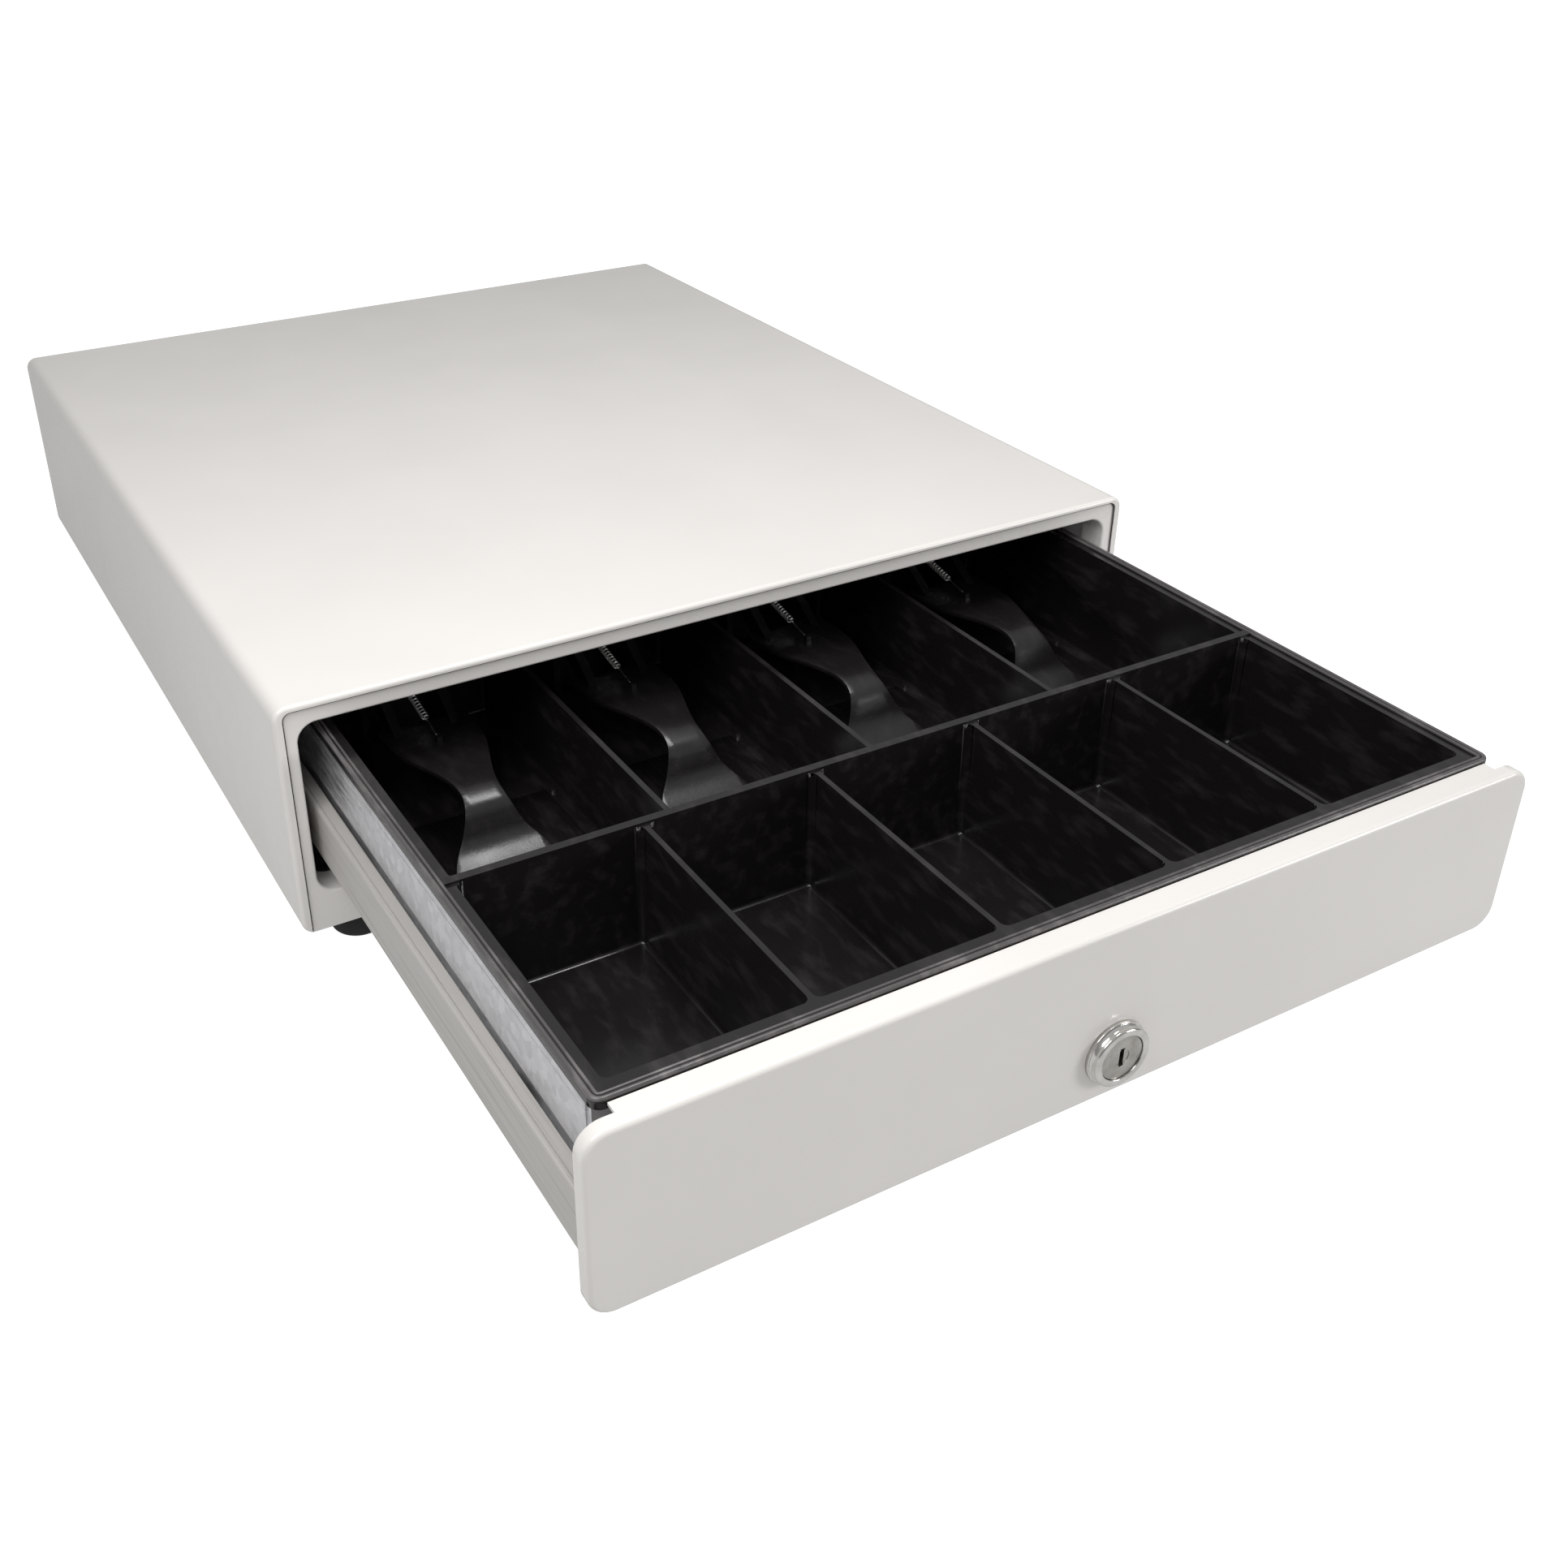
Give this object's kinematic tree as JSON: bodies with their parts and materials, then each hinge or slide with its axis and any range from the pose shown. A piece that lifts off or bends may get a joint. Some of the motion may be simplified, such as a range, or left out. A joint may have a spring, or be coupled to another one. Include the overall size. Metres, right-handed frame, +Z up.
{
  "type": "cash drawer",
  "caption": "Steel cash drawer with a sprung latch, key lock, rolling tray and a lift-out till insert of coin cups and note bays with sprung clips.",
  "frame": {"origin": "middle of the cabinet's flat underside, at the plane of the base sheet, with the feet below it", "axes": "+Z up; -Y the way the drawer opens, so +Y points to the cabinet's back; +X to the right of someone standing in front"},
  "size_m": [0.35, 0.6136, 0.0985],
  "materials": {
    "white_powder_coat": "smooth white powder coat, slight sheen",
    "fascia_powder_coat": "smooth off-white powder coat",
    "back_powder_coat": "smooth off-white powder coat",
    "base_galvanised_steel": "zinc-coated sheet, matt",
    "tray_galvanised_steel": "zinc-coated sheet, satin",
    "rail_painted_steel": "light grey powder coat",
    "runner_rolled_steel": "cold-rolled, lightly oiled",
    "plated_steel": "zinc plated",
    "foot_rubber": "matt black moulded rubber",
    "roller_nylon": "white nylon, waxy",
    "insert_black_abs": "fine-textured black moulding",
    "clip_black_abs": "semi-gloss black moulding",
    "spring_steel": "bright drawn wire",
    "lock_chrome": "bright plated",
    "lock_plug_nickel": "satin nickel",
    "socket_black_nylon": "matt black moulding",
    "bracket_zinc_steel": "zinc plated pressing",
    "plunger_turned_steel": "turned and ground",
    "coil_copper_tape": "copper winding under dark tape"
  },
  "bodies": {
    "cabinet": {"cabinet_cover": "white_powder_coat", "base_pan": "base_galvanised_steel", "cover_rivets": "plated_steel", "feet": "foot_rubber", "foot_screws": "plated_steel", "front_fascia": "fascia_powder_coat", "back_panel": "back_powder_coat", "cable_socket": "socket_black_nylon", "socket_screws": "plated_steel", "runner_left": "runner_rolled_steel", "runner_right": "runner_rolled_steel", "front_roller_brackets": "runner_rolled_steel", "front_roller_pins": "plated_steel", "latch_bracket": "bracket_zinc_steel", "latch_pin": "plated_steel", "solenoid_frame": "bracket_zinc_steel", "solenoid_coil": "coil_copper_tape", "plunger_spring": "spring_steel", "ejector_barrel": "bracket_zinc_steel", "ejector_spring": "spring_steel", "switch_body": "socket_black_nylon", "switch_bracket": "bracket_zinc_steel"},
    "front_roller_left": {"front_roller_left": "roller_nylon"},
    "front_roller_right": {"front_roller_right": "roller_nylon"},
    "latch_lever": {"latch_lever": "bracket_zinc_steel"},
    "solenoid_plunger": {"solenoid_plunger": "plunger_turned_steel"},
    "ejector_plunger": {"ejector_plunger": "plunger_turned_steel"},
    "switch_lever": {"switch_lever": "bracket_zinc_steel"},
    "drawer": {"drawer_front": "white_powder_coat", "drawer_tray": "tray_galvanised_steel", "front_brackets": "tray_galvanised_steel", "side_rail_left": "rail_painted_steel", "side_rail_right": "rail_painted_steel", "tray_runners": "rail_painted_steel", "rear_roller_pins": "plated_steel", "striker": "plated_steel", "lock_body": "lock_chrome", "lock_nut": "plated_steel"},
    "rear_roller_left": {"rear_roller_left": "roller_nylon"},
    "rear_roller_right": {"rear_roller_right": "roller_nylon"},
    "lock_plug": {"lock_plug": "lock_plug_nickel", "lock_cam": "plated_steel", "cam_screw": "plated_steel"},
    "till_insert": {"till_insert": "insert_black_abs", "clip_pins": "plated_steel", "divider_screws": "plated_steel"},
    "note_clip_1": {"note_clip_1": "clip_black_abs"},
    "clip_spring_1": {"clip_spring_1": "spring_steel"},
    "note_clip_2": {"note_clip_2": "clip_black_abs"},
    "clip_spring_2": {"clip_spring_2": "spring_steel"},
    "note_clip_3": {"note_clip_3": "clip_black_abs"},
    "clip_spring_3": {"clip_spring_3": "spring_steel"},
    "note_clip_4": {"note_clip_4": "clip_black_abs"},
    "clip_spring_4": {"clip_spring_4": "spring_steel"}
  },
  "joints": [
    {"name": "drawer_slide", "type": "slide", "parent": "cabinet", "child": "drawer", "axis": [0, -0.9995, -0.0305], "range_m": [-0.20359, 0.04]},
    {"name": "insert_lift", "type": "slide", "parent": "drawer", "child": "till_insert", "axis": [0, 0, 1], "range_m": [0, 0.005]},
    {"name": "lock_turn", "type": "hinge", "parent": "drawer", "child": "lock_plug", "pos_m": [0.0014, -0.406, 0.02713], "axis": [0, 1, 0], "range_deg": [0, 90]},
    {"name": "latch_swing", "type": "hinge", "parent": "cabinet", "child": "latch_lever", "pos_m": [0, 0.1273, 0.056], "axis": [-1, 0, 0], "range_deg": [0, 10.3], "stiffness_Nm_per_rad": 0.07, "springref_deg": -15.47},
    {"name": "plunger_pull", "type": "slide", "parent": "cabinet", "child": "solenoid_plunger", "axis": [0, 0, -1], "range_m": [0, 0.00402], "deforming": ["plunger_spring"]},
    {"name": "ejector_push", "type": "slide", "parent": "cabinet", "child": "ejector_plunger", "axis": [0, -1, 0], "range_m": [0, 0.024]},
    {"name": "switch_press", "type": "hinge", "parent": "cabinet", "child": "switch_lever", "pos_m": [-0.06, 0.0825, 0.034], "axis": [-1, 0, 0], "range_deg": [0, 6], "stiffness_Nm_per_rad": 0.02, "springref_deg": -2.86},
    {"name": "front_roller_left_spin", "type": "hinge", "parent": "cabinet", "child": "front_roller_left", "pos_m": [-0.13, -0.1805, 0.0121], "axis": [1, 0, 0], "continuous": true},
    {"name": "front_roller_right_spin", "type": "hinge", "parent": "cabinet", "child": "front_roller_right", "pos_m": [0.13, -0.1805, 0.0121], "axis": [1, 0, 0], "continuous": true},
    {"name": "rear_roller_left_spin", "type": "hinge", "parent": "drawer", "child": "rear_roller_left", "pos_m": [-0.169, -0.134, 0.03598], "axis": [1, 0, 0], "continuous": true},
    {"name": "rear_roller_right_spin", "type": "hinge", "parent": "drawer", "child": "rear_roller_right", "pos_m": [0.169, -0.134, 0.03598], "axis": [1, 0, 0], "continuous": true},
    {"name": "clip_1_lift", "type": "hinge", "parent": "till_insert", "child": "note_clip_1", "pos_m": [-0.11426, -0.1465, 0.06248], "axis": [-1, 0, 0], "range_deg": [0, 25], "stiffness_Nm_per_rad": 0.06, "springref_deg": -8.59},
    {"name": "clip_spring_1_follow", "type": "hinge", "parent": "till_insert", "child": "clip_spring_1", "pos_m": [-0.11426, -0.1405, 0.05898], "axis": [-1, 0, 0], "range_deg": [0, 21.6]},
    {"name": "clip_2_lift", "type": "hinge", "parent": "till_insert", "child": "note_clip_2", "pos_m": [-0.03809, -0.1465, 0.06248], "axis": [-1, 0, 0], "range_deg": [0, 25], "stiffness_Nm_per_rad": 0.06, "springref_deg": -8.59},
    {"name": "clip_spring_2_follow", "type": "hinge", "parent": "till_insert", "child": "clip_spring_2", "pos_m": [-0.03809, -0.1405, 0.05898], "axis": [-1, 0, 0], "range_deg": [0, 21.6]},
    {"name": "clip_3_lift", "type": "hinge", "parent": "till_insert", "child": "note_clip_3", "pos_m": [0.03809, -0.1465, 0.06248], "axis": [-1, 0, 0], "range_deg": [0, 25], "stiffness_Nm_per_rad": 0.06, "springref_deg": -8.59},
    {"name": "clip_spring_3_follow", "type": "hinge", "parent": "till_insert", "child": "clip_spring_3", "pos_m": [0.03809, -0.1405, 0.05898], "axis": [-1, 0, 0], "range_deg": [0, 21.6]},
    {"name": "clip_4_lift", "type": "hinge", "parent": "till_insert", "child": "note_clip_4", "pos_m": [0.11426, -0.1465, 0.06248], "axis": [-1, 0, 0], "range_deg": [0, 25], "stiffness_Nm_per_rad": 0.06, "springref_deg": -8.59},
    {"name": "clip_spring_4_follow", "type": "hinge", "parent": "till_insert", "child": "clip_spring_4", "pos_m": [0.11426, -0.1405, 0.05898], "axis": [-1, 0, 0], "range_deg": [0, 21.6]}
  ],
  "couplings": [
    {"joint": "plunger_pull", "follows": "latch_swing", "m_per_rad": 0.02225},
    {"joint": "front_roller_left_spin", "follows": "drawer_slide", "rad_per_m": 166.67},
    {"joint": "front_roller_right_spin", "follows": "drawer_slide", "rad_per_m": 166.67},
    {"joint": "rear_roller_left_spin", "follows": "drawer_slide", "rad_per_m": 166.67},
    {"joint": "rear_roller_right_spin", "follows": "drawer_slide", "rad_per_m": 166.67},
    {"joint": "clip_spring_1_follow", "follows": "clip_1_lift", "ratio": 0.86},
    {"joint": "clip_spring_2_follow", "follows": "clip_2_lift", "ratio": 0.86},
    {"joint": "clip_spring_3_follow", "follows": "clip_3_lift", "ratio": 0.86},
    {"joint": "clip_spring_4_follow", "follows": "clip_4_lift", "ratio": 0.86}
  ]
}
